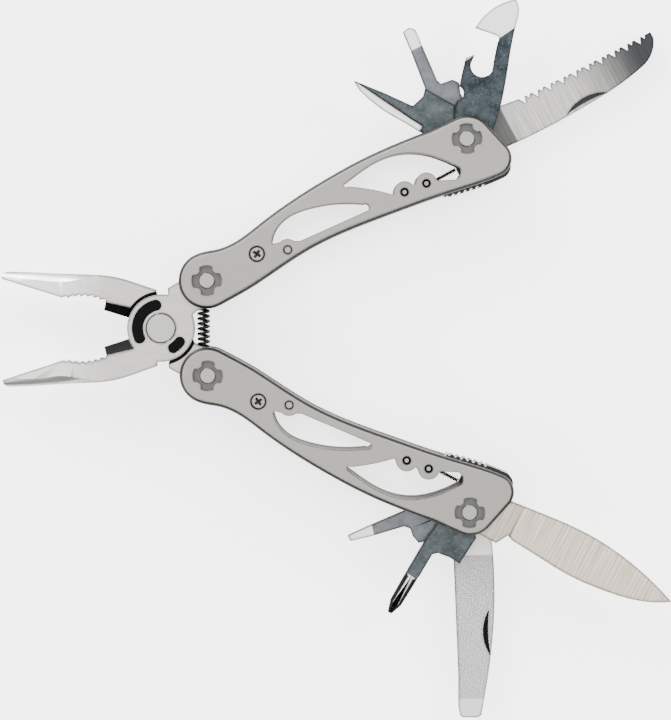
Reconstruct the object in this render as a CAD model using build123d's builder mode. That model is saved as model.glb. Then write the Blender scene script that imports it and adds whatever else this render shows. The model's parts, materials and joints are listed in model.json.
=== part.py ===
"""Pocket multi tool: sprung folding pliers whose two handles each carry four folding tools.

Every piece is drawn in the frame of the thing that it belongs to: a jaw frame (origin on the
main rivet, nose towards -X, jaw body at -Y), a handle frame (origin on the handle rivet, +X
towards the tool rivet, +Y towards the open side of the channel) or a tool frame (origin on
the tool rivet, +X along the tool). The lower handle is the upper one turned about the X axis.
"""

import os
from math import cos, degrees, radians, sin

from build123d import *

# Thicknesses
TOTAL_THICKNESS = 18.0
PLATE_THICKNESS = 3.3
HEAD_THICKNESS = 7.0
CHANNEL_HALF = TOTAL_THICKNESS / 2 - PLATE_THICKNESS
MID_HEIGHT = TOTAL_THICKNESS / 2
HEAD_HALF = HEAD_THICKNESS / 2
SIDE_GAP = 0.1
RUNNING_GAP = 0.05
FACE_GAP = 0.03

# Plier head
MAIN_PIVOT = (-49.5, 10.3)
JAW_HALF_OPENING = 17.6
DISC_RADIUS = 9.6
DISC_POCKET_RADIUS = 10.1
MAIN_RIVET_RADIUS = 4.2
PIVOT_REACH = 19.0
TANG_ANGLE = 27.6
CAM_RADIUS = 7.4
HEEL_RADIUS = 5.6
CAM_FROM = -52.0
CAM_TO = 102.5
NOSE_X = -47.6
BLANK_REACH = 16.0
ENAMEL_DEPTH = 0.4
CUTTER_FROM = -17.2
CUTTER_LENGTH = 8.2
GRIP_TEETH = 7
GRIP_TOOTH_HEIGHT = 0.75
SPRING_X = 12.1
SPRING_HALF_LENGTH = 7.6
SPRING_RADIUS = 1.5
SPRING_WIRE = 0.4
SPRING_TURNS = 10

# Handles
HANDLE_ANGLE = 28.1
TOOL_PIVOT_X = 83.8
END_RADIUS = 8.0
RIVET_RADIUS = 2.3
RIVET_HEAD_SINK = 0.5
EDGE_ROUNDING = 1.2
RECESS_DEPTH = 1.2
RECESS_RADIUS = 4.2
RECESS_WEB_RADIUS = 3.1
RECESS_WIDTH = 3.5
RECESS_TURN = -25.0
SCREW_AT = (16.1, -0.2)
SCREW_HEAD_RADIUS = 1.9
SCREW_POCKET_RADIUS = 2.25
SCREW_HEAD_HEIGHT = 1.2
SCREW_SHANK_RADIUS = 1.2
SCREW_SLOT = 0.6
SCREW_SLOT_LENGTH = 2.4
SCREW_SLOT_DEPTH = 0.8
SCREW_TURN = 28.0
DOWEL_AT = (24.3, -3.35)
DOWEL_RADIUS = 1.0
DOWEL_POCKET_RADIUS = 1.27
DOWEL_SINK = 0.5
PINS_AT = ((61.1, -4.85), (67.7, -5.65))
PIN_RADIUS = 0.8
PIN_WINDOW_RADIUS = 1.2
PIN_SINK = 1.0
PIN_END_SINK = 0.4
LOBE_RADIUS = 3.1
EAR_INNER = HEAD_HALF + SIDE_GAP
STOP_FROM = 300.0
STOP_TO = 335.0
BLOCK_TO = 70.2

# Lock slider along the back of each handle, and its spring
SLIDER_HALF_WIDTH = 5.5
SLIDER_TOP = -8.75
POST_FROM = 77.3
POST_TOP = -5.9
POST_WIDTH = 3.0
POST_THICKNESS = 0.9
JIMPING_FROM = 71.2
JIMPING_PITCH = 1.75
JIMPING_COUNT = 7
JIMPING_NOTCH = 0.8
LOCK_SPRING_Y = -6.1
LOCK_SPRING_RADIUS = 0.42
LOCK_SPRING_WIRE = 0.17
LOCK_SPRING_TURNS = 14

# Tools: thickness layers across the channel, as (low, high) in the handle's own frame
OUTER_LAYER = (3.65, 5.55)
INNER_LAYER = (-5.55, -3.65)
AWL_LAYER = (0.1, 2.9)
WIDE_DRIVER_LAYER = (-2.2, -0.1)
SMALL_DRIVER_LAYER = (0.1, 2.2)
PHILLIPS_LAYER = (-3.1, -0.1)
TANG_RADIUS = 6.35
WASHER_RADIUS = 4.6
NICK_DEPTH = 0.5
NICK_LENGTH = 13.5
NICK_WIDTH = 2.0
SAW_TEETH = 10
SAW_PITCH = 4.1
SAW_TOOTH_DEPTH = 2.1

# Round shaft of the cross-head driver, a little wider than it is thick
SHAFT_HALF_WIDTH = 1.95
SHAFT_HALF_THICKNESS = 1.5
SHAFT_TILT = -5.0
SHAFT_OFFSET = 4.6
SHAFT_FROM = 21.0
SHAFT_SHOULDER = 33.2
SHAFT_TIP = 36.6
SHAFT_TIP_SHARE = 0.32
FLUTE_WIDTH = 2.0
FLUTE_REACH = 2.05
FLUTE_REACH_THROUGH = 1.6
FLUTE_OVERRUN = 0.5
FLUTE_LENGTH = 13.0
FLUTE_TAPER = 4.0

# Angle of each tool from the handle's own direction, as it stands part open
OPENER_ANGLE = 42.0
WIDE_DRIVER_ANGLE = 88.0
AWL_ANGLE = 124.0
FILE_ANGLE = 60.0
PHILLIPS_ANGLE = 98.0
SMALL_DRIVER_ANGLE = 140.0


def frame_at(x, y, turn, face):
    """A plane at mid thickness with its X axis turned by so many degrees and its Z axis up or down."""
    x_dir = (cos(radians(turn)), sin(radians(turn)), 0)
    return Plane(origin=(x, y, MID_HEIGHT), x_dir=x_dir, z_dir=(0, 0, face))


def polar(radius, angle):
    """A point at a radius and an angle in degrees from the origin of the frame in use."""
    return (radius * cos(radians(angle)), radius * sin(radians(angle)))


def across(frame, x):
    """The plane that cuts a frame square to its X axis at x: sketch X runs along frame Y."""
    return Plane(frame.from_local_coords((x, 0, 0)), x_dir=frame.y_dir, z_dir=frame.x_dir)


def tool_plane(handle, angle, layer):
    """The plane of a tool's lower face: on the tool rivet, turned by angle in its handle."""
    x_dir = handle.x_dir * cos(radians(angle)) + handle.y_dir * sin(radians(angle))
    origin = handle.from_local_coords((TOOL_PIVOT_X, 0, layer[0]))
    return Plane(origin=origin, x_dir=x_dir, z_dir=handle.z_dir)


def thickness(layer):
    return layer[1] - layer[0]


REST_ANGLE = TANG_ANGLE + JAW_HALF_OPENING
PIVOT_DX, PIVOT_DY = polar(PIVOT_REACH, REST_ANGLE)
LOBE_AT = polar(PIVOT_REACH, TANG_ANGLE)
FRONT_JAW = frame_at(*MAIN_PIVOT, JAW_HALF_OPENING, 1)
REAR_JAW = frame_at(*MAIN_PIVOT, -JAW_HALF_OPENING, -1)
UPPER = frame_at(MAIN_PIVOT[0] + PIVOT_DX, MAIN_PIVOT[1] + PIVOT_DY, HANDLE_ANGLE, 1)
LOWER = frame_at(MAIN_PIVOT[0] + PIVOT_DX, MAIN_PIVOT[1] - PIVOT_DY, -HANDLE_ANGLE, -1)


# Plier head -------------------------------------------------------------------------------


def jaw_outline():
    """Side view of a jaw ahead of the joint: grip, pipe scallop, cutter flank and back."""
    with BuildSketch() as outline:
        with BuildLine():
            grip = Line((NOSE_X, -FACE_GAP), (-29.6, -FACE_GAP))
            scallop = ThreePointArc(grip @ 1, (-23.6, -2.9), (CUTTER_FROM, -3.2),
                                    mode=Mode.PRIVATE)
            teeth = [scallop @ 0]
            for tooth in range(GRIP_TEETH):
                root = scallop @ ((tooth + 0.85) / GRIP_TEETH)
                point = scallop @ ((tooth + 1) / GRIP_TEETH) + Vector(0, GRIP_TOOTH_HEIGHT)
                teeth += [root, point]
            Polyline(*teeth, (-9.0, -3.2), (0, 0), (-4.5, -10.0))
            back = Spline(
                (-4.5, -10.0), (-11.0, -10.15), (-17.5, -9.95), (-26.0, -8.0), (-46.4, -2.5),
                tangents=((-1, 0), (-1, 0.3)),
            )
            ThreePointArc(back @ 1, (-47.5, -1.6), (NOSE_X, -FACE_GAP))
        make_face()
    return outline.sketch


def tang_outline():
    """Side view of a tang: neck, heel round the handle rivet and cam that the handle rides."""
    towards_main = TANG_ANGLE + 180
    cam = [Vector(*LOBE_AT) + Vector(*polar(CAM_RADIUS, towards_main + turn))
           for turn in (CAM_FROM, (CAM_FROM + CAM_TO) / 2, CAM_TO)]
    with BuildSketch() as outline:
        with BuildLine():
            Polyline((0, 0), (4.8, 8.3), (5.5, 10.2), (9.6, 11.1), LOBE_AT,
                     (LOBE_AT[0] - 1.0, LOBE_AT[1] - CAM_RADIUS + 0.2), (11.2, 1.5), (9.9, 0.9),
                     (9.4, 0.0), (0, 0))
        make_face()
        with Locations(LOBE_AT):
            Circle(HEEL_RADIUS)
        with BuildLine():
            ThreePointArc(*cam)
            Polyline(cam[2], LOBE_AT, cam[0])
        make_face()
    return outline.sketch


def jaw(frame, side):
    """One forged jaw: tapered nose, half-thickness disc in front, full-thickness tang."""
    with BuildPart() as body:
        # nose: thinner towards the tip, and rounded off towards its back
        with BuildSketch(frame.offset(-HEAD_HALF)):
            add(jaw_outline())
            with Locations((-32, -6)):
                Rectangle(36, 16, mode=Mode.INTERSECT)
        extrude(amount=HEAD_THICKNESS)
        plan = Plane(frame.from_local_coords((0, -BLANK_REACH, 0)), x_dir=frame.x_dir, z_dir=frame.y_dir)
        with BuildSketch(plan):
            with BuildLine():
                Polyline((-49, 1.75), (-47, 1.9), (-20, HEAD_HALF), (-10, HEAD_HALF),
                         (-10, -HEAD_HALF), (-20, -HEAD_HALF), (-47, -1.9), (-49, -1.75),
                         (-49, 1.75))
            make_face()
        extrude(amount=BLANK_REACH, mode=Mode.INTERSECT)
        for x, deep, wide in ((-49.0, 1.9, 1.6), (-41.0, 4.3, 2.5), (-33.0, 6.5, 3.3),
                              (-27.0, 8.2, 4.6), (-21.0, 11.0, 9.0), (-13.0, 18.0, 24.0)):
            with BuildSketch(across(frame, x)):
                Ellipse(deep, wide)
        loft(mode=Mode.INTERSECT)
        # shoulder between the nose and the joint
        with BuildSketch(frame.offset(-HEAD_HALF)):
            add(jaw_outline())
            with Locations((-6.5, -6)):
                Rectangle(15.1, 16, mode=Mode.INTERSECT)
        extrude(amount=HEAD_THICKNESS)
        # cutting edge: two flanks that meet on the closing line at mid thickness
        with BuildSketch(across(frame, CUTTER_FROM)):
            Polygon((-FACE_GAP, 0.2), (-2.75, 2.6), (-4.0, 2.6), (-4.0, -2.6), (-2.75, -2.6),
                    (-FACE_GAP, -0.2), align=None)
        extrude(amount=CUTTER_LENGTH)
        with BuildSketch(frame.offset(-HEAD_HALF)):
            add(tang_outline())
        extrude(amount=HEAD_THICKNESS)
        # room for the other jaw's disc, then this jaw's own half-thickness disc
        with BuildSketch(frame.offset(-HEAD_HALF)):
            Circle(DISC_POCKET_RADIUS)
        extrude(amount=HEAD_HALF + FACE_GAP, mode=Mode.SUBTRACT)
        with BuildSketch(frame.offset(FACE_GAP)):
            Circle(DISC_RADIUS)
        extrude(amount=HEAD_HALF - FACE_GAP)
        with BuildSketch(frame.offset(-HEAD_HALF)):
            Circle(MAIN_RIVET_RADIUS + RUNNING_GAP)
            with Locations(LOBE_AT):
                Circle(RIVET_RADIUS + RUNNING_GAP)
        extrude(amount=HEAD_THICKNESS, mode=Mode.SUBTRACT)
        # round pocket that seats one end of the return spring
        seat = Plane((MAIN_PIVOT[0] + SPRING_X, MAIN_PIVOT[1], MID_HEIGHT), z_dir=(0, side, 0))
        with BuildSketch(seat):
            Circle(SPRING_RADIUS + SPRING_WIRE + 0.15)
        extrude(amount=SPRING_HALF_LENGTH + 0.1, mode=Mode.SUBTRACT)
    return body


def arc_slot(radius, width, start, size):
    """A round-ended slot that bends round the origin."""
    cap = degrees(width / 2 / radius)
    with BuildSketch() as slot:
        with BuildLine():
            outer = CenterArc((0, 0), radius + width / 2, start, size)
            inner = CenterArc((0, 0), radius - width / 2, start, size)
            ThreePointArc(outer @ 0, polar(radius, start - cap), inner @ 0)
            ThreePointArc(outer @ 1, polar(radius, start + size + cap), inner @ 1)
        make_face()
    return slot.sketch


with BuildPart() as jaw_a:
    add(jaw(FRONT_JAW, 1).part)
    # two round-ended fields let into the face of the disc
    with BuildSketch(FRONT_JAW.offset(HEAD_HALF - ENAMEL_DEPTH)):
        add(arc_slot(6.65, 3.2, 84, 103))
        add(arc_slot(6.65, 3.0, -76, 22))
    extrude(amount=2 * ENAMEL_DEPTH, mode=Mode.SUBTRACT)

with BuildPart() as jaw_b:
    add(jaw(REAR_JAW, -1).part)

with BuildPart() as jaw_rivet:
    with BuildSketch(FRONT_JAW.offset(-HEAD_HALF)):
        Circle(MAIN_RIVET_RADIUS)
    extrude(amount=HEAD_THICKNESS)
    chamfer(jaw_rivet.edges().filter_by(GeomType.CIRCLE), 0.25)

with BuildPart() as jaw_spring:
    coil_length = 2 * (SPRING_HALF_LENGTH - SPRING_WIRE)
    with BuildLine() as coil:
        Helix(
            pitch=coil_length / SPRING_TURNS,
            height=coil_length,
            radius=SPRING_RADIUS,
            center=(MAIN_PIVOT[0] + SPRING_X, MAIN_PIVOT[1] - coil_length / 2, MID_HEIGHT),
            direction=(0, 1, 0),
        )
    with BuildSketch(Plane(coil.line @ 0, z_dir=coil.line % 0)):
        Circle(SPRING_WIRE)
    sweep(is_frenet=True)


# Handles ----------------------------------------------------------------------------------


def scale_outline():
    """Side view of a handle plate: round at the plier end, raked at the tool end."""
    with BuildSketch() as outline:
        with BuildLine():
            open_side = Spline(
                (0.4, 7.99), (6.9, 6.35), (12.5, 5.8), (20.5, 6.9), (33.0, 8.5), (47.5, 9.2),
                (62.0, 8.7), (74.5, 7.25), (84.0, 6.6),
                tangents=((1, -0.05), (1, -0.05)),
            )
            corner = ThreePointArc(open_side @ 1, (88.3, 4.9), (90.7, 0.8))
            rake = Line(corner @ 1, (92.7, -7.2))
            heel = ThreePointArc(rake @ 1, (91.6, -12.0), (87.6, -13.75))
            back = Spline(
                heel @ 1, (82.5, -13.2), (69.3, -10.75), (55.9, -8.7), (42.3, -6.9),
                (31.5, -6.25), (23.7, -6.6), (12.9, -7.65), (0.4, -7.99),
                tangents=((-1, 0.05), (-1, 0)),
            )
            ThreePointArc(back @ 1, (-END_RADIUS, 0), open_side @ 0)
        make_face()
    return outline.sketch


def window_outlines():
    """The two long windows of a plate, with the lobes that carry the dowel and the pins."""
    with BuildSketch() as windows:
        with BuildLine():
            nose = ThreePointArc((21.8, 0.0), (21.3, 0.5), (21.7, 1.1))
            top = Spline(nose @ 1, (25.0, 3.7), (29.3, 4.7), (35.0, 4.0), (42.0, 1.7),
                         (49.3, -2.35))
            tail = ThreePointArc(top @ 1, (50.4, -3.5), (49.3, -4.4))
            under = Spline(tail @ 1, (39.0, -3.6), (28.6, -2.8))
            Polyline(under @ 1, (24.3, -0.6), (21.8, 0.0))
        make_face()
        with BuildLine():
            nose = ThreePointArc((47.8, 4.2), (47.0, 4.8), (47.6, 5.35))
            top = Spline(nose @ 1, (53.0, 6.15), (59.0, 6.45), (64.5, 5.5), (70.6, 2.3),
                         (76.2, -3.5), (78.1, -6.2))
            tail = ThreePointArc(top @ 1, (77.4, -8.0), (75.4, -8.6))
            under = Polyline(tail @ 1, (71.2, -6.6), (69.5, -5.0), (64.6, -4.2), (60.5, -4.4),
                             (57.7, -3.7))
            Spline(under @ 1, (53.4, 0.2), (47.8, 4.2))
        make_face()
        with Locations(DOWEL_AT, *PINS_AT):
            Circle(LOBE_RADIUS, mode=Mode.SUBTRACT)
    return windows.sketch


def rivet_recess():
    """Four broad arms round a rivet head, all inside one circle."""
    with BuildSketch() as recess:
        Rectangle(2 * RECESS_RADIUS, RECESS_WIDTH, rotation=RECESS_TURN)
        Rectangle(RECESS_WIDTH, 2 * RECESS_RADIUS, rotation=RECESS_TURN)
        Circle(RECESS_RADIUS, mode=Mode.INTERSECT)
        Circle(RECESS_WEB_RADIUS)
    return recess.sketch


def handle_scale(frame, outward):
    """One plate of a handle. Outward is 1 or -1, the way its show face looks in the frame."""
    inner = frame.offset(outward * CHANNEL_HALF)
    outer = frame.offset(outward * TOTAL_THICKNESS / 2)
    with BuildPart() as plate:
        with BuildSketch(inner):
            add(scale_outline())
        extrude(amount=outward * PLATE_THICKNESS)
        show_face = plate.faces().sort_by(Axis(outer.origin, outer.z_dir * outward))[-1]
        fillet(show_face.edges(), EDGE_ROUNDING)
        with BuildSketch(inner):
            add(window_outlines())
            with Locations((0, 0), (TOOL_PIVOT_X, 0)):
                Circle(RIVET_RADIUS)
            with Locations(SCREW_AT):
                Circle(SCREW_SHANK_RADIUS)
            with Locations(DOWEL_AT):
                Circle(DOWEL_RADIUS)
            with Locations(*PINS_AT):
                Circle(PIN_RADIUS)
        extrude(amount=outward * PLATE_THICKNESS, mode=Mode.SUBTRACT)
        # four-armed recesses round the rivets, and pockets round the screw, pins and dowel
        with BuildSketch(outer):
            with Locations((0, 0), (TOOL_PIVOT_X, 0)):
                add(rivet_recess())
        extrude(amount=-outward * RECESS_DEPTH, mode=Mode.SUBTRACT)
        with BuildSketch(outer):
            with Locations(SCREW_AT):
                Circle(SCREW_POCKET_RADIUS)
        extrude(amount=-outward * (SCREW_HEAD_HEIGHT + 0.1), mode=Mode.SUBTRACT)
        with BuildSketch(outer):
            with Locations(*PINS_AT):
                Circle(PIN_WINDOW_RADIUS)
        extrude(amount=-outward * PIN_SINK, mode=Mode.SUBTRACT)
        with BuildSketch(outer):
            with Locations(DOWEL_AT):
                Circle(DOWEL_POCKET_RADIUS)
        extrude(amount=-outward * DOWEL_SINK, mode=Mode.SUBTRACT)
    return plate


def ear_outline():
    """Side view of a yoke ear: round the handle rivet, past the screw, down to the dowel."""
    with BuildSketch() as ear:
        Circle(6.6)
        with BuildLine():
            Polyline((0, 6.0), (6.0, 4.2), (16.1, 2.4), (18.6, 0.8), (18.9, -2.5),
                     (DOWEL_AT[0], -2.5), (DOWEL_AT[0], -5.2), (14.2, -6.6), (5.0, -7.0),
                     (0, -6.0), (0, 6.0))
        make_face()
        Circle(RIVET_RADIUS, mode=Mode.SUBTRACT)
        with Locations(SCREW_AT):
            Circle(SCREW_SHANK_RADIUS, mode=Mode.SUBTRACT)
        with Locations(DOWEL_AT):
            Circle(DOWEL_RADIUS, mode=Mode.SUBTRACT)
    return ear.sketch


def lock_slider_outline():
    """Side view of the lock slider: thumb edge with jimping, nose under the tool tangs."""
    with BuildSketch() as outline:
        with BuildLine():
            Polyline((70.4, -10.2), (71.0, SLIDER_TOP), (79.2, SLIDER_TOP), (80.4, -6.8),
                     (85.6, -6.8), (87.2, SLIDER_TOP), (91.4, SLIDER_TOP), (91.6, -10.5))
            heel = ThreePointArc((91.6, -10.5), (90.6, -13.6), (87.6, -14.7))
            under = Spline(heel @ 1, (82.5, -14.2), (76.0, -13.05), (71.0, -11.9))
            ThreePointArc(under @ 1, (70.5, -11.2), (70.4, -10.2))
        make_face()
    return outline.sketch


handle_parts = {}
for name, frame, front, gaps in (
    ("upper", UPPER, 1, ((AWL_LAYER[1], OUTER_LAYER[0]), (INNER_LAYER[1], WIDE_DRIVER_LAYER[0]))),
    ("lower", LOWER, -1, ((SMALL_DRIVER_LAYER[1], OUTER_LAYER[0]),
                          (INNER_LAYER[1], PHILLIPS_LAYER[0]))),
):
    with BuildPart() as front_scale:
        add(handle_scale(frame, front).part)

    with BuildPart() as back_scale:
        add(handle_scale(frame, -front).part)

    with BuildPart() as pivot_yoke:
        with BuildSketch(frame.offset(-CHANNEL_HALF)):
            add(ear_outline())
        extrude(amount=CHANNEL_HALF - EAR_INNER)
        with BuildSketch(frame.offset(EAR_INNER)):
            add(ear_outline())
        extrude(amount=CHANNEL_HALF - EAR_INNER)
        # web at the back of the channel, ending in the stop that meets the jaw's cam
        with BuildSketch(frame.offset(-EAR_INNER)):
            with BuildLine():
                stop = CenterArc((0, 0), HEEL_RADIUS + 0.2, STOP_FROM, STOP_TO - STOP_FROM)
                Polyline(stop @ 1, (9.0, -5.5), (14.0, -5.7), (14.0, -6.6), (5.0, -7.0),
                         polar(END_RADIUS - 0.1, STOP_FROM), stop @ 0)
            make_face()
        extrude(amount=2 * EAR_INNER)

    with BuildPart() as handle_rivet:
        with BuildSketch(frame.offset(RIVET_HEAD_SINK - TOTAL_THICKNESS / 2)):
            Circle(RIVET_RADIUS)
        extrude(amount=TOTAL_THICKNESS - 2 * RIVET_HEAD_SINK)
        chamfer(handle_rivet.edges().filter_by(GeomType.CIRCLE), 0.3)

    with BuildPart() as tool_rivet:
        with BuildSketch(tool_plane(frame, 0, (RIVET_HEAD_SINK - TOTAL_THICKNESS / 2, 0))):
            Circle(RIVET_RADIUS)
        extrude(amount=TOTAL_THICKNESS - 2 * RIVET_HEAD_SINK)
        chamfer(tool_rivet.edges().filter_by(GeomType.CIRCLE), 0.3)

    with BuildPart() as tool_washers:
        for low, high in gaps:
            with BuildSketch(tool_plane(frame, 0, (low + RUNNING_GAP, high))):
                Circle(WASHER_RADIUS)
                Circle(RIVET_RADIUS, mode=Mode.SUBTRACT)
            extrude(amount=high - low - 2 * RUNNING_GAP)

    with BuildPart() as yoke_screws:
        for outward in (1, -1):
            head_top = frame.offset(outward * (TOTAL_THICKNESS / 2 - 0.1))
            with BuildSketch(head_top):
                with Locations(SCREW_AT):
                    Circle(SCREW_HEAD_RADIUS)
            extrude(amount=-outward * SCREW_HEAD_HEIGHT)
            with BuildSketch(head_top):
                with Locations(SCREW_AT):
                    Circle(SCREW_SHANK_RADIUS)
            extrude(amount=-outward * (TOTAL_THICKNESS / 2 - 0.1 - EAR_INNER))
            with BuildSketch(head_top.offset(-outward * SCREW_SLOT_DEPTH)):
                with Locations(SCREW_AT):
                    Rectangle(SCREW_SLOT_LENGTH, SCREW_SLOT, rotation=SCREW_TURN)
                    Rectangle(SCREW_SLOT, SCREW_SLOT_LENGTH, rotation=SCREW_TURN)
            extrude(amount=outward * 2 * SCREW_SLOT_DEPTH, mode=Mode.SUBTRACT)

    with BuildPart() as dowel_pins:
        for outward in (1, -1):
            with BuildSketch(frame.offset(outward * EAR_INNER)):
                with Locations(DOWEL_AT):
                    Circle(DOWEL_RADIUS)
            extrude(amount=outward * (TOTAL_THICKNESS / 2 - 0.15 - EAR_INNER))

    with BuildPart() as spring_block:
        with BuildSketch(frame.offset(-CHANNEL_HALF)):
            with BuildLine():
                Polyline((58.8, -8.3), (58.8, -5.6), (60.0, -4.3), (64.5, -4.55),
                         (BLOCK_TO, -5.0), (BLOCK_TO, -8.5), (58.8, -8.3))
            make_face()
            with Locations(*PINS_AT):
                Circle(PIN_RADIUS, mode=Mode.SUBTRACT)
        extrude(amount=2 * CHANNEL_HALF)

    with BuildPart() as block_pins:
        with BuildSketch(frame.offset(PIN_END_SINK - TOTAL_THICKNESS / 2)):
            with Locations(*PINS_AT):
                Circle(PIN_RADIUS)
        extrude(amount=TOTAL_THICKNESS - 2 * PIN_END_SINK)
        chamfer(block_pins.edges().filter_by(GeomType.CIRCLE), 0.2)

    with BuildPart() as lock_slider:
        with BuildSketch(frame.offset(-SLIDER_HALF_WIDTH)):
            add(lock_slider_outline())
            for tooth in range(JIMPING_COUNT):
                x = JIMPING_FROM + JIMPING_PITCH * tooth
                with Locations((x, -11.95 - 0.19 * (x - JIMPING_FROM))):
                    Rectangle(JIMPING_NOTCH, JIMPING_NOTCH, rotation=45, mode=Mode.SUBTRACT)
        extrude(amount=2 * SLIDER_HALF_WIDTH)
        with BuildSketch(frame.offset(-POST_WIDTH / 2)):
            with Locations((POST_FROM + POST_THICKNESS / 2, (SLIDER_TOP + POST_TOP) / 2)):
                Rectangle(POST_THICKNESS, POST_TOP - SLIDER_TOP)
        extrude(amount=POST_WIDTH)

    with BuildPart() as lock_spring:
        coil_length = POST_FROM - BLOCK_TO - 2 * LOCK_SPRING_WIRE - 2 * RUNNING_GAP
        start_x = BLOCK_TO + LOCK_SPRING_WIRE + RUNNING_GAP
        with BuildLine() as coil:
            Helix(
                pitch=coil_length / LOCK_SPRING_TURNS,
                height=coil_length,
                radius=LOCK_SPRING_RADIUS,
                center=frame.from_local_coords((start_x, LOCK_SPRING_Y, 0)),
                direction=frame.x_dir,
            )
        with BuildSketch(Plane(coil.line @ 0, z_dir=coil.line % 0)):
            Circle(LOCK_SPRING_WIRE)
        sweep(is_frenet=True)

    handle_parts.update({
        f"{name}_front_scale": front_scale,
        f"{name}_back_scale": back_scale,
        f"{name}_pivot_yoke": pivot_yoke,
        f"{name}_handle_rivet": handle_rivet,
        f"{name}_tool_rivet": tool_rivet,
        f"{name}_tool_washers": tool_washers,
        f"{name}_yoke_screws": yoke_screws,
        f"{name}_dowel_pins": dowel_pins,
        f"{name}_spring_block": spring_block,
        f"{name}_block_pins": block_pins,
        f"{name}_lock_slider": lock_slider,
        f"{name}_lock_spring": lock_spring,
    })


def nail_nick(middle_x, edge_y):
    """Outline of a crescent groove for a fingernail, lying along a tool's back."""
    low = (middle_x - NICK_LENGTH / 2, edge_y)
    high = (middle_x + NICK_LENGTH / 2, edge_y)
    with BuildSketch() as nick:
        with BuildLine():
            ThreePointArc(low, (middle_x, edge_y + NICK_WIDTH), high)
            ThreePointArc(high, (middle_x, edge_y + 0.3 * NICK_WIDTH), low)
        make_face()
    return nick.sketch


# Tools of the upper handle ----------------------------------------------------------------

with BuildPart() as saw:
    with BuildSketch(tool_plane(UPPER, 0, INNER_LAYER)):
        with BuildLine():
            back = Spline((9.2, -7.4), (21.4, -8.1), (34.8, -8.0), (48.4, -7.0), (54.3, -5.9))
            tip = ThreePointArc(back @ 1, (59.3, -3.2), (61.2, -0.2))
            Polyline(tip @ 1, (61.2, 1.8), (32.3, 2.4), (18.9, 3.0), (13.5, 3.8), (5.0, 4.5),
                     (0, 0), (5.0, -3.9), back @ 0)
        make_face()
        Circle(TANG_RADIUS)
        Circle(RIVET_RADIUS + RUNNING_GAP, mode=Mode.SUBTRACT)
        # two raked gullets to each pitch, a deep one and a shallow one
        for tooth in range(SAW_TEETH):
            x = 19.0 + SAW_PITCH * tooth
            top = 3.05 - 0.028 * (x - 19.0)
            Polygon((x - 0.2, top + 0.3), (x + 1.3, top - SAW_TOOTH_DEPTH), (x + 2.2, top + 0.3),
                    align=None, mode=Mode.SUBTRACT)
            Polygon((x + 2.1, top + 0.3), (x + 3.0, top - 0.6 * SAW_TOOTH_DEPTH),
                    (x + 3.9, top + 0.3), align=None, mode=Mode.SUBTRACT)
    extrude(amount=thickness(INNER_LAYER))
    with BuildSketch(tool_plane(UPPER, 0, (INNER_LAYER[1] - NICK_DEPTH, 0))):
        add(nail_nick(35.6, -7.6))
    extrude(amount=2 * NICK_DEPTH, mode=Mode.SUBTRACT)

with BuildPart() as can_opener:
    with BuildSketch(tool_plane(UPPER, OPENER_ANGLE, OUTER_LAYER)):
        with BuildLine():
            back = Spline((4.4, -6.2), (11.4, -6.1), (19.0, -5.1), (29.5, -3.2), (36.6, -2.4))
            nose = ThreePointArc(back @ 1, (40.0, -1.6), (41.9, 0.0))
            blade = Spline(nose @ 1, (37.9, 4.7), (30.4, 8.1))
            heel = Line(blade @ 1, (30.5, 1.8))
            corner = ThreePointArc(heel @ 1, (30.1, 0.9), (29.0, 0.75))
            shank = Spline(corner @ 1, (24.1, 0.15), (20.7, -0.5))
            hook = ThreePointArc(shank @ 1, (17.8, 2.6), (20.5, 5.9))
            Polyline(hook @ 1, (23.3, 5.7), (21.6, 7.8))
            brow = Spline((21.6, 7.8), (17.5, 7.4), (13.4, 6.8))
            dip = ThreePointArc(brow @ 1, (11.4, 4.9), (9.4, 6.1))
            Polyline(dip @ 1, (8.6, 6.2), (4.2, 5.4), (0, 0), back @ 0)
        make_face()
        Circle(TANG_RADIUS)
        Circle(RIVET_RADIUS + RUNNING_GAP, mode=Mode.SUBTRACT)
    extrude(amount=thickness(OUTER_LAYER))

with BuildPart() as wide_screwdriver:
    with BuildSketch(tool_plane(UPPER, WIDE_DRIVER_ANGLE, WIDE_DRIVER_LAYER)):
        Polygon((0, 6.0), (18.5, 3.8), (29.9, 2.7), (35.4, 2.4), (35.8, 0.3), (34.5, -1.2),
                (29.8, -0.9), (18.7, -0.3), (17.4, -0.8), (17.0, -4.3), (15.3, -5.6),
                (12.5, -4.6), (5.0, -4.6), (0, 0), align=None)
        Circle(TANG_RADIUS)
        Circle(RIVET_RADIUS + RUNNING_GAP, mode=Mode.SUBTRACT)
    extrude(amount=thickness(WIDE_DRIVER_LAYER))

with BuildPart() as awl:
    with BuildSketch(tool_plane(UPPER, AWL_ANGLE, AWL_LAYER)):
        with BuildLine():
            Polyline((0, 0), (5.5, -3.8), (7.3, -7.1), (17.0, -7.4), (16.5, -5.2),
                     (17.8, -1.4), (26.4, -1.0), (36.1, -0.1), (33.3, 1.6))
            crown = Spline((33.3, 1.6), (28.7, 2.8), (23.7, 3.6), (18.4, 3.8), (13.6, 4.1))
            Polyline(crown @ 1, (5.0, 4.3), (0, 0))
        make_face()
        Circle(TANG_RADIUS)
        Circle(RIVET_RADIUS + RUNNING_GAP, mode=Mode.SUBTRACT)
    extrude(amount=thickness(AWL_LAYER))
    # ground flank along the spike's outer edge, which thins it towards a sharp point
    with BuildSketch(tool_plane(UPPER, AWL_ANGLE, (AWL_LAYER[1], 0))):
        with BuildLine():
            ridge = Spline((12.6, 2.3), (19.0, 1.7), (26.0, 0.9), (36.4, -0.3))
            Polyline(ridge @ 1, (36.4, 2.6), (25.0, 4.6), (12.6, 4.8), ridge @ 0)
        make_face()
    extrude(amount=-0.9, mode=Mode.SUBTRACT)


# Tools of the lower handle ----------------------------------------------------------------

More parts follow.
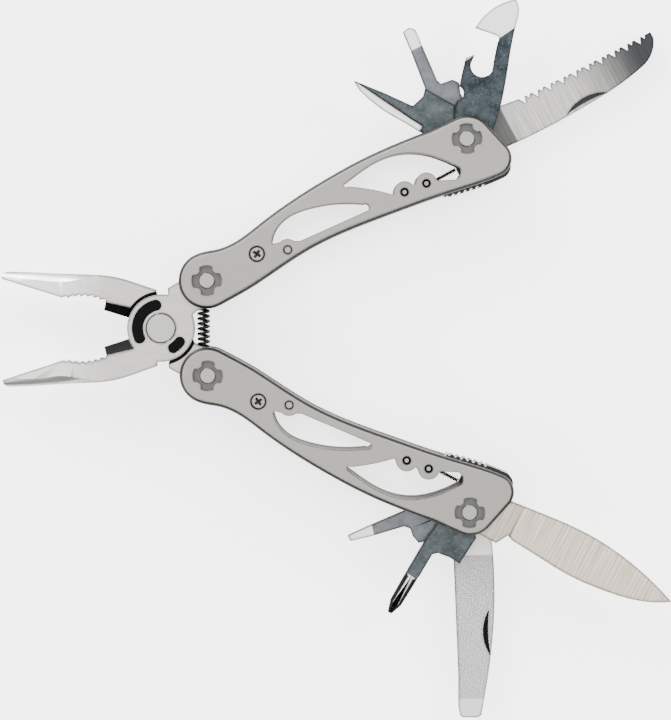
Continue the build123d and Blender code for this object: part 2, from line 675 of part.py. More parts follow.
with BuildPart() as knife:
    with BuildSketch(tool_plane(LOWER, 0, INNER_LAYER)):
        with BuildLine():
            spine = Spline((9.4, -8.2), (20.9, -9.4), (34.4, -10.0), (49.3, -8.1), (63.0, -3.9))
            edge = Spline(spine @ 1, (55.4, -0.1), (44.0, 2.3), (34.5, 3.0), (24.0, 2.4),
                          (14.8, 1.7))
            Polyline(edge @ 1, (12.9, 0.9), (10.9, 4.4), (5.0, 4.3), (0, 0), (5.0, -4.0),
                     spine @ 0)
        make_face()
        Circle(TANG_RADIUS)
        Circle(RIVET_RADIUS + RUNNING_GAP, mode=Mode.SUBTRACT)
    extrude(amount=thickness(INNER_LAYER))
    # flat grind: both sides slope from the spine to a thin edge, ahead of the ricasso
    middle = sum(INNER_LAYER) / 2
    with BuildSketch(across(tool_plane(LOWER, 0, (middle, middle)), 13.3)):
        for face in (1, -1):
            Polygon((-10.5, face * 0.95), (4.5, face * 0.12), (4.5, face * 2.0),
                    (-10.5, face * 2.0), align=None)
    extrude(amount=52.0, mode=Mode.SUBTRACT)

with BuildPart() as file:
    with BuildSketch(tool_plane(LOWER, FILE_ANGLE, OUTER_LAYER)):
        with BuildLine():
            under = Spline((9.5, -6.5), (23.5, -6.7), (32.8, -6.1), (42.1, -4.9), (51.3, -3.2),
                           (56.9, -2.0))
            Polyline(under @ 1, (59.4, -1.5), (60.1, -0.4), (59.9, 3.9), (59.2, 4.7),
                     (56.9, 5.1), (47.9, 4.7), (14.0, 4.7), (4.0, 4.7), (0, 0), (5.0, -4.0),
                     under @ 0)
        make_face()
        Circle(TANG_RADIUS)
        Circle(RIVET_RADIUS + RUNNING_GAP, mode=Mode.SUBTRACT)
    extrude(amount=thickness(OUTER_LAYER))
    with BuildSketch(tool_plane(LOWER, FILE_ANGLE, (OUTER_LAYER[0] - NICK_DEPTH, 0))):
        add(nail_nick(35.8, -4.9))
    extrude(amount=2 * NICK_DEPTH, mode=Mode.SUBTRACT)

with BuildPart() as phillips_driver:
    with BuildSketch(tool_plane(LOWER, PHILLIPS_ANGLE, PHILLIPS_LAYER)):
        Polygon((2.0, 5.6), (15.9, 5.2), (18.5, 4.7), (18.5, 1.6), (16.3, 1.4), (14.9, 0.2),
                (14.0, -3.3), (13.8, -6.6), (5.0, -6.2), (0, 0), align=None)
        Circle(TANG_RADIUS)
        Circle(RIVET_RADIUS + RUNNING_GAP, mode=Mode.SUBTRACT)
    extrude(amount=thickness(PHILLIPS_LAYER))
    # flat arm, then an oval shaft with a blunt point and four flutes that deepen towards it
    middle = sum(PHILLIPS_LAYER) / 2
    axis_plane = tool_plane(LOWER, PHILLIPS_ANGLE + SHAFT_TILT, (middle, middle))
    with BuildSketch(axis_plane.offset(PHILLIPS_LAYER[0] - middle)):
        with Locations((17.5, SHAFT_OFFSET)):
            SlotOverall(15.0, 2 * SHAFT_HALF_WIDTH)
    extrude(amount=thickness(PHILLIPS_LAYER))
    shaft_axis = across(axis_plane, 0)
    shaft_axis.origin += axis_plane.y_dir * SHAFT_OFFSET
    with BuildSketch(shaft_axis.offset(SHAFT_FROM)):
        Ellipse(SHAFT_HALF_WIDTH, SHAFT_HALF_THICKNESS)
    extrude(amount=SHAFT_SHOULDER - SHAFT_FROM)
    with BuildSketch(shaft_axis.offset(SHAFT_SHOULDER)):
        Ellipse(SHAFT_HALF_WIDTH, SHAFT_HALF_THICKNESS)
    with BuildSketch(shaft_axis.offset(SHAFT_TIP)):
        Ellipse(SHAFT_TIP_SHARE * SHAFT_HALF_WIDTH, SHAFT_TIP_SHARE * SHAFT_HALF_THICKNESS)
    loft()
    for flute_at in ((FLUTE_REACH, 0), (-FLUTE_REACH, 0),
                     (0, FLUTE_REACH_THROUGH), (0, -FLUTE_REACH_THROUGH)):
        with BuildSketch(shaft_axis.offset(SHAFT_TIP + FLUTE_OVERRUN)):
            with Locations(flute_at):
                Rectangle(FLUTE_WIDTH, FLUTE_WIDTH, rotation=45)
        extrude(amount=-FLUTE_LENGTH, taper=FLUTE_TAPER, mode=Mode.SUBTRACT)

with BuildPart() as small_screwdriver:
    with BuildSketch(tool_plane(LOWER, SMALL_DRIVER_ANGLE, SMALL_DRIVER_LAYER)):
        Polygon((2.0, 6.0), (19.1, 3.7), (28.4, 1.9), (35.4, 0.4), (34.9, -1.4), (28.4, -1.3),
                (19.0, -0.6), (17.4, -1.6), (17.2, -3.8), (15.9, -6.2), (5.6, -5.0), (0, 0),
                align=None)
        Circle(TANG_RADIUS)
        Circle(RIVET_RADIUS + RUNNING_GAP, mode=Mode.SUBTRACT)
    extrude(amount=thickness(SMALL_DRIVER_LAYER))

os.makedirs("parts", exist_ok=True)
finished = {
    "jaw_a": jaw_a,
    "jaw_b": jaw_b,
    "jaw_rivet": jaw_rivet,
    "jaw_spring": jaw_spring,
    **handle_parts,
    "saw": saw,
    "can_opener": can_opener,
    "wide_screwdriver": wide_screwdriver,
    "awl": awl,
    "knife": knife,
    "file": file,
    "phillips_driver": phillips_driver,
    "small_screwdriver": small_screwdriver,
}
for node, piece in finished.items():
    piece.part.label = node
    export_step(piece.part, f"parts/{node}.step")
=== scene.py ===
import json
import math

import bpy
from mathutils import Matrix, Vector


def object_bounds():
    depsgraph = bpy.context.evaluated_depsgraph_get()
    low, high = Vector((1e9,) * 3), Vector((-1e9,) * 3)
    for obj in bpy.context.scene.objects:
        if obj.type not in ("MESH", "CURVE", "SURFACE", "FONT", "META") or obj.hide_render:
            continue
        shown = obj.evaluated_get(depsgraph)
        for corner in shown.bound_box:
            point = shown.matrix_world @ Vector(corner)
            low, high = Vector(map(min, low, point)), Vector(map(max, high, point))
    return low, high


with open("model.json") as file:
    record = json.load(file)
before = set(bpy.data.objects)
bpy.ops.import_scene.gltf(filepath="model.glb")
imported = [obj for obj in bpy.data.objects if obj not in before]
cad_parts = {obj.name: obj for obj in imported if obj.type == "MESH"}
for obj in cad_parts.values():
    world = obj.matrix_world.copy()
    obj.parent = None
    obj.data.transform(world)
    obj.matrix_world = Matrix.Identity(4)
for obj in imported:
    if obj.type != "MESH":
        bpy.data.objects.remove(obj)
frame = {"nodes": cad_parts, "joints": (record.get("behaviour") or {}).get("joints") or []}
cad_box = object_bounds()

MM = 0.001
UP = Vector((0, 0, 1))

# Driving places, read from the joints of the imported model
JOINTS = {j["name"]: j for j in frame["joints"]}
MAIN = Vector(JOINTS["jaw_pivot"]["pos_m"])
HANDLE_PIVOT = {
    "upper": Vector(JOINTS["upper_handle_fold"]["pos_m"]),
    "lower": Vector(JOINTS["lower_handle_fold"]["pos_m"]),
}
TOOL_PIVOT = {
    "upper": Vector(JOINTS["saw_fold"]["pos_m"]),
    "lower": Vector(JOINTS["knife_fold"]["pos_m"]),
}
MIRROR = {"upper": 1, "lower": -1}
# handle of each tool, and its angle from the handle's own direction at rest, in degrees
TOOLS = {
    "saw": ("upper", 0), "can_opener": ("upper", 42),
    "wide_screwdriver": ("upper", 88), "awl": ("upper", 124),
    "knife": ("lower", 0), "file": ("lower", 60),
    "phillips_driver": ("lower", 98), "small_screwdriver": ("lower", 140),
}


def axes(side, degrees):
    """The X and Y directions of a frame turned by degrees from a handle's own direction."""
    along = TOOL_PIVOT[side] - HANDLE_PIVOT[side]
    angle = math.atan2(along.y, along.x) + MIRROR[side] * math.radians(degrees)
    x_dir = Vector((math.cos(angle), math.sin(angle), 0))
    return x_dir, Vector((-x_dir.y, x_dir.x, 0)) * MIRROR[side]


def handle_point(side, x, y):
    """Where a point of a handle's own frame, in millimetres, lies on the object."""
    x_dir, y_dir = axes(side, 0)
    return HANDLE_PIVOT[side] + (x_dir * x + y_dir * y) * MM


# Camera and light -------------------------------------------------------------------------

CAMERA_DISTANCE = 0.95
CAMERA_NEAREST = 0.01
VIEW_WIDTH = 0.1917
CAMERA_TILT = math.radians(1.8)
CAMERA_ROLL = math.radians(-0.5)
AIM = Vector((0.0004, 0.0007, 0.009))

LIGHT_HEIGHT = 0.58
LIGHT_REACH = 0.95
LIGHT_SIZE = 0.5
# name, bearing in degrees and power in watts
SOFTBOXES = (("key_softbox", 120, 14.0), ("fill_softbox", 210, 7.0),
             ("side_softbox", 30, 10.0), ("low_softbox", 300, 7.0))

ROOM_TOP = Vector((-0.25, 0.50, 0.83))
ROOM_FALL = (0.25, 1.0)
ROOM_STRENGTH = (0.02, 3.2)

camera = bpy.data.objects.new("camera", bpy.data.cameras.new("camera"))
bpy.context.scene.collection.objects.link(camera)
towards_camera = Vector((0, math.sin(CAMERA_TILT), math.cos(CAMERA_TILT)))
camera.location = AIM + towards_camera * CAMERA_DISTANCE
camera.rotation_euler = (-CAMERA_TILT, 0, CAMERA_ROLL)
camera.data.sensor_fit = "HORIZONTAL"
camera.data.lens = camera.data.sensor_width * CAMERA_DISTANCE / VIEW_WIDTH
camera.data.clip_start = CAMERA_NEAREST
bpy.context.scene.camera = camera


def area_light(name, place, energy):
    """A square softbox that looks at the middle of the object."""
    data = bpy.data.lights.new(name, "AREA")
    data.shape = "RECTANGLE"
    data.size, data.size_y = LIGHT_SIZE, LIGHT_SIZE
    data.energy = energy
    lamp = bpy.data.objects.new(name, data)
    bpy.context.scene.collection.objects.link(lamp)
    lamp.location = place
    lamp.rotation_euler = (AIM - Vector(place)).to_track_quat("-Z", "Y").to_euler()


for name, bearing, energy in SOFTBOXES:
    turn = math.radians(bearing)
    place = (LIGHT_REACH * math.cos(turn), LIGHT_REACH * math.sin(turn), LIGHT_HEIGHT)
    area_light(name, place, energy)

# the room is brightest overhead and falls off to dark walls
world = bpy.data.worlds.new("studio")
bpy.context.scene.world = world
world.use_nodes = True
sky = world.node_tree
direction = sky.nodes.new("ShaderNodeTexCoord")
lean = sky.nodes.new("ShaderNodeVectorMath")
lean.operation = "DOT_PRODUCT"
lean.inputs[1].default_value = ROOM_TOP
ramp = sky.nodes.new("ShaderNodeMapRange")
sky.links.new(direction.outputs["Generated"], lean.inputs[0])
sky.links.new(lean.outputs["Value"], ramp.inputs["Value"])
ramp.inputs["From Min"].default_value, ramp.inputs["From Max"].default_value = ROOM_FALL
ramp.inputs["To Min"].default_value, ramp.inputs["To Max"].default_value = ROOM_STRENGTH
sky.links.new(ramp.outputs["Result"], sky.nodes["Background"].inputs["Strength"])
sky.nodes["Background"].inputs["Color"].default_value = (1, 1, 1, 1)


# Materials --------------------------------------------------------------------------------
#
# Pairs in capitals are the two ends of a mask's fade. Places on the object are in millimetres;
# slopes are the upright part of a face's direction, turns are cosines, waves are sines.

EDGE_SAMPLES = 6
EDGE_TURN = (0.82, 0.985)
NICK_TOP = (5.15, 5.3)
NICK_FLOOR = (4.0, 4.3)
NICK_SLOPE = (0.85, 0.95)


def grey(value):
    return (value, value, value)


class Shader:
    """A node material, with short calls for the nodes that these metals are made of."""

    def __init__(self, name, roughness=0.4, metallic=1.0):
        self.material = bpy.data.materials.new(name)
        self.material.use_nodes = True
        self.tree = self.material.node_tree
        self.surface = self.tree.nodes["Principled BSDF"]
        self.surface.inputs["Roughness"].default_value = roughness
        self.surface.inputs["Metallic"].default_value = metallic
        self.place = self.node("ShaderNodeTexCoord").outputs["Object"]

    def node(self, kind, **settings):
        made = self.tree.nodes.new(kind)
        for key, value in settings.items():
            setattr(made, key, value)
        return made

    def link(self, source, target):
        """Lead a socket into another, or set a plain value on it."""
        if isinstance(source, bpy.types.NodeSocket):
            self.tree.links.new(source, target)
        else:
            target.default_value = source

    # numbers

    def math(self, operation, a, b=0.0):
        made = self.node("ShaderNodeMath", operation=operation)
        self.link(a, made.inputs[0])
        self.link(b, made.inputs[1])
        return made.outputs[0]

    def times(self, a, b):
        return self.math("MULTIPLY", a, b)

    def either(self, a, b):
        return self.math("MAXIMUM", a, b)

    def both(self, *masks):
        """1 only where every mask is 1."""
        result = masks[0]
        for mask in masks[1:]:
            result = self.times(result, mask)
        return result

    def invert(self, mask):
        return self.math("SUBTRACT", 1.0, mask)

    def step(self, value, low, high):
        """0 below low, 1 above high, smooth between them."""
        made = self.node("ShaderNodeMapRange", interpolation_type="SMOOTHSTEP")
        self.link(value, made.inputs["Value"])
        made.inputs["From Min"].default_value = low
        made.inputs["From Max"].default_value = high
        return made.outputs["Result"]

    def below(self, value, low, high):
        """1 below low, 0 above high, smooth between them."""
        return self.invert(self.step(value, low, high))

    def band(self, value, rise, fall):
        """1 between two edges, each a pair of numbers, and 0 outside them."""
        return self.both(self.step(value, *rise), self.below(value, *fall))

    def spread(self, factor, low, high):
        """A number that goes evenly from low to high with factor."""
        made = self.node("ShaderNodeMapRange")
        self.link(factor, made.inputs["Value"])
        made.inputs["To Min"].default_value = low
        made.inputs["To Max"].default_value = high
        return made.outputs["Result"]

    # places on the object

    def coordinate(self, origin, direction):
        """Millimetres along a direction from a point of the object."""
        made = self.node("ShaderNodeVectorMath", operation="SUBTRACT")
        self.link(self.place, made.inputs[0])
        made.inputs[1].default_value = origin
        along = self.node("ShaderNodeVectorMath", operation="DOT_PRODUCT")
        self.link(made.outputs[0], along.inputs[0])
        along.inputs[1].default_value = direction
        return self.times(along.outputs["Value"], 1 / MM)

    def radius(self, centre):
        """Millimetres from an upright axis through a point of the object."""
        x = self.coordinate(centre, (1, 0, 0))
        y = self.coordinate(centre, (0, 1, 0))
        return self.math("SQRT", self.math("ADD", self.times(x, x), self.times(y, y)))

    def height(self):
        """Millimetres above or below the middle of the object."""
        return self.math("ABSOLUTE", self.coordinate(MAIN, UP))

    def tool_place(self, name):
        """Millimetres along and across a tool, from the rivet that it turns on."""
        side, angle = TOOLS[name]
        x_dir, y_dir = axes(side, angle)
        return self.coordinate(TOOL_PIVOT[side], x_dir), self.coordinate(TOOL_PIVOT[side], y_dir)

    def flatness(self):
        """1 on faces that look straight up or down, 0 on upright walls."""
        split = self.node("ShaderNodeSeparateXYZ")
        self.link(self.node("ShaderNodeTexCoord").outputs["Normal"], split.inputs[0])
        return self.math("ABSOLUTE", split.outputs["Z"])

    def edge(self, width):
        """0 on open faces, rising to 1 along a sharp edge, inside a width given in metres."""
        rounded = self.node("ShaderNodeBevel", samples=EDGE_SAMPLES)
        rounded.inputs["Radius"].default_value = width
        turned = self.node("ShaderNodeVectorMath", operation="DOT_PRODUCT")
        self.link(rounded.outputs["Normal"], turned.inputs[0])
        self.link(self.node("ShaderNodeNewGeometry").outputs["Normal"], turned.inputs[1])
        return self.below(turned.outputs["Value"], *EDGE_TURN)

    def nick(self):
        """The floor of a nail nick, just under the show face of a blade in the outer layer; the
        materials paint it dark as shade.
        """
        depth = self.coordinate((0, 0, 0), UP)
        return self.both(self.band(depth, NICK_FLOOR, NICK_TOP),
                         self.step(self.flatness(), *NICK_SLOPE))

    # patterns

    def noise(self, place, size, detail=3.0, roughness=0.6):
        made = self.node("ShaderNodeTexNoise")
        self.link(place, made.inputs["Vector"])
        made.inputs["Scale"].default_value = 1 / size
        made.inputs["Detail"].default_value = detail
        made.inputs["Roughness"].default_value = roughness
        return made.outputs["Fac"]

    def streaks(self, x, y, x_rate, y_rate, detail):
        """Grinding lines, finer along the axis with the higher rate, in cycles per millimetre."""
        made = self.node("ShaderNodeCombineXYZ")
        self.link(self.times(x, x_rate), made.inputs["X"])
        self.link(self.times(y, y_rate), made.inputs["Y"])
        return self.noise(made.outputs[0], 1.0, detail)

    # colours

    def mix(self, factor, low, high):
        """Blend of two colours, each a triple or a socket."""
        made = self.node("ShaderNodeMix", data_type="RGBA")
        self.link(factor, made.inputs["Factor"])
        for value, socket in ((low, made.inputs["A"]), (high, made.inputs["B"])):
            self.link((*value, 1) if isinstance(value, tuple) else value, socket)
        return made.outputs["Result"]

    def wash(self, tone, mask, share, colour):
        """Lay a share of a colour over a tone where a mask is 1."""
        return self.mix(self.times(mask, share), tone, colour)

    def shade_rim(self, tone, dark, slope=(0.88, 0.98), width=0.0015):
        """Paint shade on a tone along sharp edges, and where the face turns down into a wall,
        standing in for the dark reflections of the room there.
        """
        wall = self.below(self.flatness(), *slope)
        return self.mix(self.either(wall, self.edge(width)), tone, dark)

    # results

    def paint(self, colour):
        self.link(colour, self.surface.inputs["Base Color"])

    def rough(self, value):
        self.link(value, self.surface.inputs["Roughness"])

    def bump(self, height, distance, strength):
        made = self.node("ShaderNodeBump")
        made.inputs["Distance"].default_value = distance
        made.inputs["Strength"].default_value = strength
        self.link(height, made.inputs["Height"])
        self.link(made.outputs["Normal"], self.surface.inputs["Normal"])


# Handle plates: fasteners of a handle in its own frame, with the reach of their holes
FASTENERS = (((16.1, -0.2), 2.3), ((61.1, -4.85), 1.25), ((67.7, -5.65), 1.25),
             ((24.3, -3.35), 1.32))
HOLE_FADE = 0.1
PLATE_FACE = (8.75, 8.95)
RECESS_REACH = (4.3, 4.5)
PLATE_SLOPE = (0.91, 0.995)
PLATE_EDGE = 0.0008


def scale_material(side):
    """Bead-blasted aluminium: fine grit and faint clouding, with painted shade on the rounded
    edges, in the rivet recesses and in the fastener holes.
    """
    s = Shader(f"{side}_blasted_aluminium")
    grit = s.noise(s.place, 0.00022, 2)
    cloud = s.noise(s.place, 0.012, 3)
    tone = s.mix(cloud, (0.262, 0.250, 0.228), (0.312, 0.299, 0.274))
    tone = s.wash(tone, grit, 0.5, (0.40, 0.39, 0.37))
    # painted shade: darker rounded edges, greyer rivet recesses, black gaps round the fasteners
    tone = s.shade_rim(tone, (0.034, 0.034, 0.032), PLATE_SLOPE, PLATE_EDGE)
    sunk = s.below(s.height(), *PLATE_FACE)
    for centre in (HANDLE_PIVOT[side], TOOL_PIVOT[side]):
        recess_shade = s.both(s.below(s.radius(centre), *RECESS_REACH), sunk)
        tone = s.mix(recess_shade, tone, (0.12, 0.119, 0.113))
    for (x, y), reach in FASTENERS:
        hole_shadow = s.below(s.radius(handle_point(side, x, y)), reach, reach + HOLE_FADE)
        tone = s.mix(s.both(hole_shadow, sunk), tone, grey(0.005))
    s.paint(tone)
    s.rough(s.spread(grit, 0.40, 0.52))
    s.bump(grit, 0.000006, 0.6)
    return s.material


# Jaws: the nose points along -x from the main rivet, and the biting side faces +y
JAW_OPENING = math.radians(17.6)
JAW_SLOPE = (0.42, 0.90)
NOSE_HIGHLIGHT_FADE = (-34.0, -16.0)
CUTTER_START, CUTTER_END = (-17.6, -17.3), (-9.4, -8.8)
CUTTER_ROOT = (-3.35, -3.2)
CUTTER_FACE = (3.0, 3.2)
LAP_SHADE_HEIGHT = (0.2, 0.3)
GAP_SHADE_INNER, GAP_SHADE_OUTER = (9.8, 9.9), (10.45, 10.6)
FIELD_INNER, FIELD_OUTER = (4.7, 4.8), (8.4, 8.5)
FIELD_FLOOR, FIELD_TOP = (2.9, 3.0), (3.3, 3.42)


def jaw_material(name, turn, front):
    """Forged satin steel with blackened cutters; the front jaw has the black disc fields. Painted
    shade darkens the rims and walls, the floor of the gap where the jaws lap, and a band round
    the disc on the rear jaw; a painted highlight lightens the nose towards its tip.
    """
    s = Shader(name)
    along = Vector((math.cos(JAW_OPENING), turn * math.sin(JAW_OPENING), 0))
    bite = Vector((-along.y, along.x, 0)) * turn
    x = s.coordinate(MAIN, along)
    y = s.coordinate(MAIN, bite)
    lines = s.streaks(x, y, 0.10, 1.6, 4)
    cloud = s.noise(s.place, 0.005, 4)
    fleck = s.step(s.noise(s.place, 0.0007, 3), 0.5, 0.75)
    tone = s.mix(lines, (0.37, 0.352, 0.326), (0.76, 0.73, 0.685))
    tone = s.wash(tone, cloud, 0.45, (0.46, 0.455, 0.44))
    tone = s.wash(tone, fleck, 0.25, (0.36, 0.355, 0.35))
    # painted highlight: the nose lightened towards its tip
    tone = s.wash(tone, s.below(x, *NOSE_HIGHLIGHT_FADE), 0.55, (1.0, 0.99, 0.97))
    cutter = s.both(s.band(x, CUTTER_START, CUTTER_END),
                    s.step(y, *CUTTER_ROOT),
                    s.below(s.height(), *CUTTER_FACE))
    tone = s.mix(cutter, tone, grey(0.014))
    # painted shade on the rims and walls, for the dark reflections of the room there
    tone = s.shade_rim(tone, (0.022, 0.021, 0.020), JAW_SLOPE)
    # painted shade: near black at the middle height, on the floor of the gap where the two jaws
    # lap
    tone = s.mix(s.below(s.height(), *LAP_SHADE_HEIGHT), tone, grey(0.004))
    ring = s.radius(MAIN)
    if front:
        dark = s.both(s.band(ring, FIELD_INNER, FIELD_OUTER),
                      s.band(s.coordinate(MAIN, UP), FIELD_FLOOR, FIELD_TOP))
    else:
        # on the rear jaw, painted shadow: a near-black band round the disc that widens the gap
        # there
        dark = s.band(ring, GAP_SHADE_INNER, GAP_SHADE_OUTER)
    s.paint(s.mix(dark, tone, grey(0.006)))
    s.rough(s.spread(lines, 0.24, 0.40))
    s.bump(lines, 0.00002, 0.6)
    return s.material


# Small tools: darkest and lightest tone of each kind of plate
DARK_PLATE = ((0.016, 0.023, 0.028), (0.062, 0.076, 0.084))
GREY_PLATE = ((0.038, 0.048, 0.052), (0.088, 0.102, 0.108))
LIGHT_PLATE = ((0.095, 0.102, 0.115), (0.170, 0.178, 0.195))
TOOL_SLOPE = (0.93, 0.995)
TIP_FADE = 0.3
FLANK_FADE = 0.2
FLANK_START = (12.0, 12.6)


def dark_tool_material(name, plate, bright_from, slant=0.0, ground_below=None):
    """Blued satin plate with speckled wear, a tip ground bright beyond a given reach, and painted
    shade along the rims and walls.

    slant leans the end of the bright tip across the tool. ground_below is the height under
    which the flank is ground too.
    """
    s = Shader(f"{name}_dark_plate")
    x, y = s.tool_place(name)
    cloud = s.noise(s.place, 0.0035, 5, 0.65)
    speck = s.step(s.noise(s.place, 0.0008, 3, 0.7), 0.52, 0.72)
    tone = s.mix(s.step(cloud, 0.25, 0.75), *plate)
    tone = s.wash(tone, speck, 0.3, (0.20, 0.215, 0.225))
    lines = s.streaks(x, y, 6.0, 0.4, 2)
    ground = s.mix(lines, (0.86, 0.86, 0.84), (1.0, 1.0, 0.98))
    tip = s.step(s.math("ADD", x, s.times(y, slant)), bright_from, bright_from + TIP_FADE)
    if ground_below:
        level = s.coordinate(MAIN, UP)
        flank = s.both(s.below(level, ground_below, ground_below + FLANK_FADE),
                       s.step(x, *FLANK_START))
        tip = s.either(tip, flank)
    # painted shade along the rims and walls
    s.paint(s.shade_rim(s.mix(tip, tone, ground), (0.012, 0.012, 0.013), TOOL_SLOPE))
    s.rough(s.spread(cloud, 0.26, 0.42))
    s.bump(cloud, 0.00004, 0.4)
    return s.material


# Knife and saw
BLADE_DRAW = 0.06
RIDGE_RATE = 5.2
RIDGE_WANDER = 3.0
RIDGE_WAVE = (0.72, 0.98)
RICASSO_END = (12.8, 13.4)


def blade_material(name, low, high, crosswise, ricasso_painted_shade, dark_tip=None, nicked=False):
    """Satin ground steel with fine lines across the blade, and painted shade: darker towards the
    tang, along the rims and walls, and in the nail nick where it has one.
    """
    s = Shader(f"{name}_ground_steel")
    x, y = s.tool_place(name)
    lines = s.streaks(x, y, crosswise, BLADE_DRAW, 5)
    cloud = s.noise(s.place, 0.008, 3)
    tone = s.mix(s.step(lines, 0.3, 0.7), low, high)
    tone = s.wash(tone, cloud, 0.3, low)
    wander = s.times(cloud, RIDGE_WANDER)
    ridge = s.math("SINE", s.math("ADD", s.times(x, RIDGE_RATE), wander))
    tone = s.wash(tone, s.step(ridge, *RIDGE_WAVE), 0.45, (0.30, 0.28, 0.26))
    # painted shade: the blade darkened towards the tang
    tone = s.wash(tone, s.below(x, *RICASSO_END), ricasso_painted_shade, grey(0.06))
    if dark_tip:
        tone = s.wash(tone, s.step(x, *dark_tip), 0.97, (0.026, 0.029, 0.033))
    # painted shade along the rims and walls
    tone = s.shade_rim(tone, grey(0.015), TOOL_SLOPE)
    if nicked:
        # painted shade on the floor of the nail nick
        tone = s.mix(s.nick(), tone, grey(0.03))
    s.paint(tone)
    s.rough(s.spread(lines, 0.28, 0.42))
    s.bump(lines, 0.00004, 0.6)
    return s.material


CUT_SLOPES = (0.75, -0.95)
CUT_RATE = 9.2
CUT_WAVE = (-0.2, 0.9)
FILE_TIP = (54.2, 54.8)
FILE_TANG = (13.0, 13.6)


def file_material():
    """File steel: two crossing sets of cut lines up to a plain bright screwdriver tip, with
    painted shade along the rims and walls and in the nail nick.
    """
    s = Shader("file_cut_steel")
    x, y = s.tool_place("file")
    cuts = []
    for slope in CUT_SLOPES:
        phase = s.times(s.math("ADD", x, s.times(y, slope)), CUT_RATE)
        cuts.append(s.math("SINE", phase))
    tooth = s.step(s.either(*cuts), *CUT_WAVE)
    plain = s.either(s.step(x, *FILE_TIP), s.below(x, *FILE_TANG))
    cut = s.mix(tooth, (0.16, 0.157, 0.155), (0.78, 0.77, 0.76))
    # painted shade along the rims and walls, and near black on the floor of the nail nick
    tone = s.shade_rim(s.mix(plain, cut, (0.80, 0.79, 0.77)), grey(0.03))
    s.paint(s.mix(s.nick(), tone, grey(0.01)))
    s.bump(s.times(tooth, s.invert(plain)), 0.00012, 0.8)
    return s.material


# Pins, rivets, springs and the parts inside the handles
GRAIN = 0.0006
SCREW_FACE = (8.5, 8.85)
SCREW_EDGE = 0.0009


def plain_metal(name, low, high, roughness, shaded_edge_width=0.0):
    """Turned or blackened steel with a fine mottled grain, and painted shade along its sharp
    edges where it has them.
    """
    s = Shader(name)
    mottle = s.noise(s.place, GRAIN, 3)
    tone = s.mix(mottle, low, high)
    if shaded_edge_width:
        # painted shade along the sharp edges
        tone = s.mix(s.edge(shaded_edge_width), tone, grey(0.02))
    s.paint(tone)
    s.rough(s.spread(mottle, roughness - 0.06, roughness + 0.06))
    s.bump(mottle, 0.00001, 0.4)
    return s.material


def screw_metal():
    """Bright screw head; its cross slot, edges and sides are painted near black as shade."""
    s = Shader("screw_head_steel")
    mottle = s.noise(s.place, GRAIN, 3)
    tone = s.mix(mottle, (0.28, 0.276, 0.27), (0.55, 0.54, 0.525))
    # painted shade: all but the top face away from its edges is near black, in the cross slot and
    # down the sides
    bright = s.both(s.step(s.height(), *SCREW_FACE), s.invert(s.edge(SCREW_EDGE)))
    s.paint(s.mix(bright, grey(0.015), tone))
    s.rough(s.spread(mottle, 0.26, 0.4))
    return s.material


MAIN_RIVET_STEEL = plain_metal("main_rivet_steel", (0.36, 0.355, 0.345), (0.56, 0.552, 0.54),
                               0.34, shaded_edge_width=0.0006)
PIN_STEEL = plain_metal("pin_steel", (0.28, 0.275, 0.262), (0.40, 0.394, 0.38),
                        0.32, shaded_edge_width=0.0008)
RIVET_STEEL = plain_metal("rivet_steel", (0.30, 0.294, 0.28), (0.42, 0.412, 0.395), 0.36)
YOKE_STEEL = plain_metal("yoke_steel", grey(0.16), (0.28, 0.28, 0.275), 0.36)
SCREW_STEEL = screw_metal()
PIN_BLACK = plain_metal("dark_pin_steel", grey(0.10), (0.45, 0.45, 0.44), 0.22)
BLACK_OXIDE = plain_metal("black_oxide_steel", grey(0.012), grey(0.05), 0.3)
SLIDER_STEEL = plain_metal("slider_steel", grey(0.015), grey(0.05), 0.36)


# Finishes of the CAD nodes ----------------------------------------------------------------

WELD_DISTANCE = 0.000002
EDGE_ANGLE = math.radians(32)
EDGE_SEGMENTS = 2
TOOL_EDGE = 0.00034
JAW_EDGE = 0.0004


def finish_node(node, material, edge=0.0):
    """Give a CAD node its finish, and a small rounding on its sharp edges."""
    piece = frame["nodes"][node]
    if edge:
        weld = piece.modifiers.new("weld", "WELD")
        weld.merge_threshold = WELD_DISTANCE
        rounding = piece.modifiers.new("rounding", "BEVEL")
        rounding.limit_method = "ANGLE"
        rounding.angle_limit = EDGE_ANGLE
        rounding.width = edge
        rounding.segments = EDGE_SEGMENTS
        rounding.harden_normals = True
    for held in piece.material_slots:
        held.link = "OBJECT"
        held.material = material


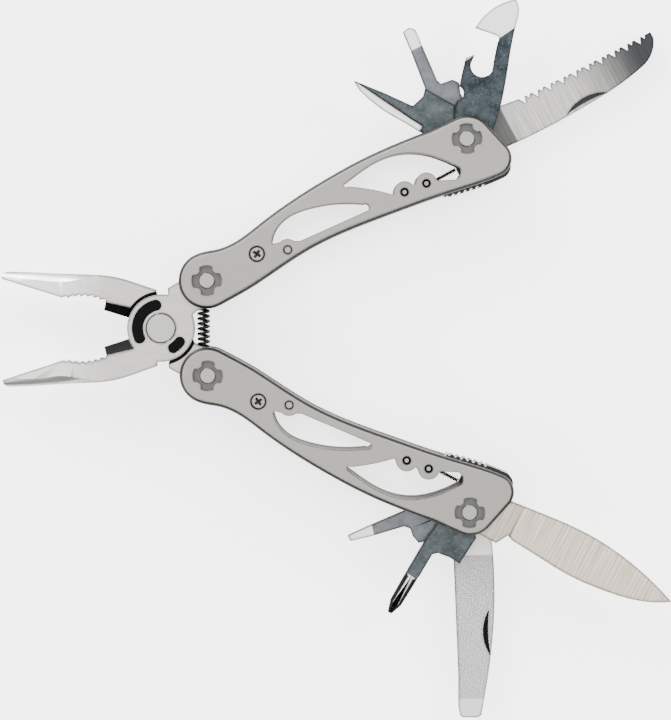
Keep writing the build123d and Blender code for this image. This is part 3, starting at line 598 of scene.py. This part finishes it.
finish_node("jaw_a", jaw_material("front_jaw_steel", 1, True), JAW_EDGE)
finish_node("jaw_b", jaw_material("rear_jaw_steel", -1, False), JAW_EDGE)
finish_node("jaw_rivet", MAIN_RIVET_STEEL)
finish_node("jaw_spring", BLACK_OXIDE)
for side in ("upper", "lower"):
    blasted = scale_material(side)
    for part, material in (
        ("front_scale", blasted), ("back_scale", blasted), ("pivot_yoke", YOKE_STEEL),
        ("handle_rivet", RIVET_STEEL), ("tool_rivet", RIVET_STEEL),
        ("tool_washers", PIN_STEEL), ("yoke_screws", SCREW_STEEL), ("dowel_pins", PIN_STEEL),
        ("spring_block", YOKE_STEEL), ("block_pins", PIN_BLACK),
        ("lock_slider", SLIDER_STEEL), ("lock_spring", BLACK_OXIDE),
    ):
        finish_node(f"{side}_{part}", material)

# how far from its rivet each small tool is ground bright; the awl has only its flank ground
TOOL_FINISHES = {
    "can_opener": dark_tool_material("can_opener", DARK_PLATE, 30.8, slant=1.35),
    "wide_screwdriver": dark_tool_material("wide_screwdriver", LIGHT_PLATE, 29.4),
    "awl": dark_tool_material("awl", GREY_PLATE, 60, ground_below=2.4),
    "phillips_driver": dark_tool_material("phillips_driver", GREY_PLATE, 24.5),
    "small_screwdriver": dark_tool_material("small_screwdriver", LIGHT_PLATE, 27.8),
    "saw": blade_material("saw", (0.36, 0.353, 0.335), (0.74, 0.725, 0.69), crosswise=2.6,
                          ricasso_painted_shade=0.9, dark_tip=(28, 56), nicked=True),
    "knife": blade_material("knife", (0.60, 0.50, 0.405), (1.0, 0.87, 0.73), crosswise=2.2,
                            ricasso_painted_shade=0.3),
    "file": file_material(),
}
for name, material in TOOL_FINISHES.items():
    finish_node(name, material, TOOL_EDGE)


# Floor ------------------------------------------------------------------------------------

FLOOR_REACH = 1.6
FLOOR_GAP = 0.0005
FLOOR_GLOW = 2.4

floor_mesh = bpy.data.meshes.new("floor")
corners = [(x * FLOOR_REACH, y * FLOOR_REACH, 0) for x, y in ((-1, -1), (1, -1), (1, 1), (-1, 1))]
floor_mesh.from_pydata(corners, [], [(0, 1, 2, 3)])
floor = bpy.data.objects.new("floor", floor_mesh)
bpy.context.scene.collection.objects.link(floor)
floor.location.z = cad_box[0][2] - FLOOR_GAP
paper = Shader("white_paper", roughness=0.9, metallic=0.0)
paper.paint((0.93, 0.93, 0.93, 1))
paper.surface.inputs["Emission Color"].default_value = (1, 1, 1, 1)
paper.surface.inputs["Emission Strength"].default_value = FLOOR_GLOW
floor_mesh.materials.append(paper.material)
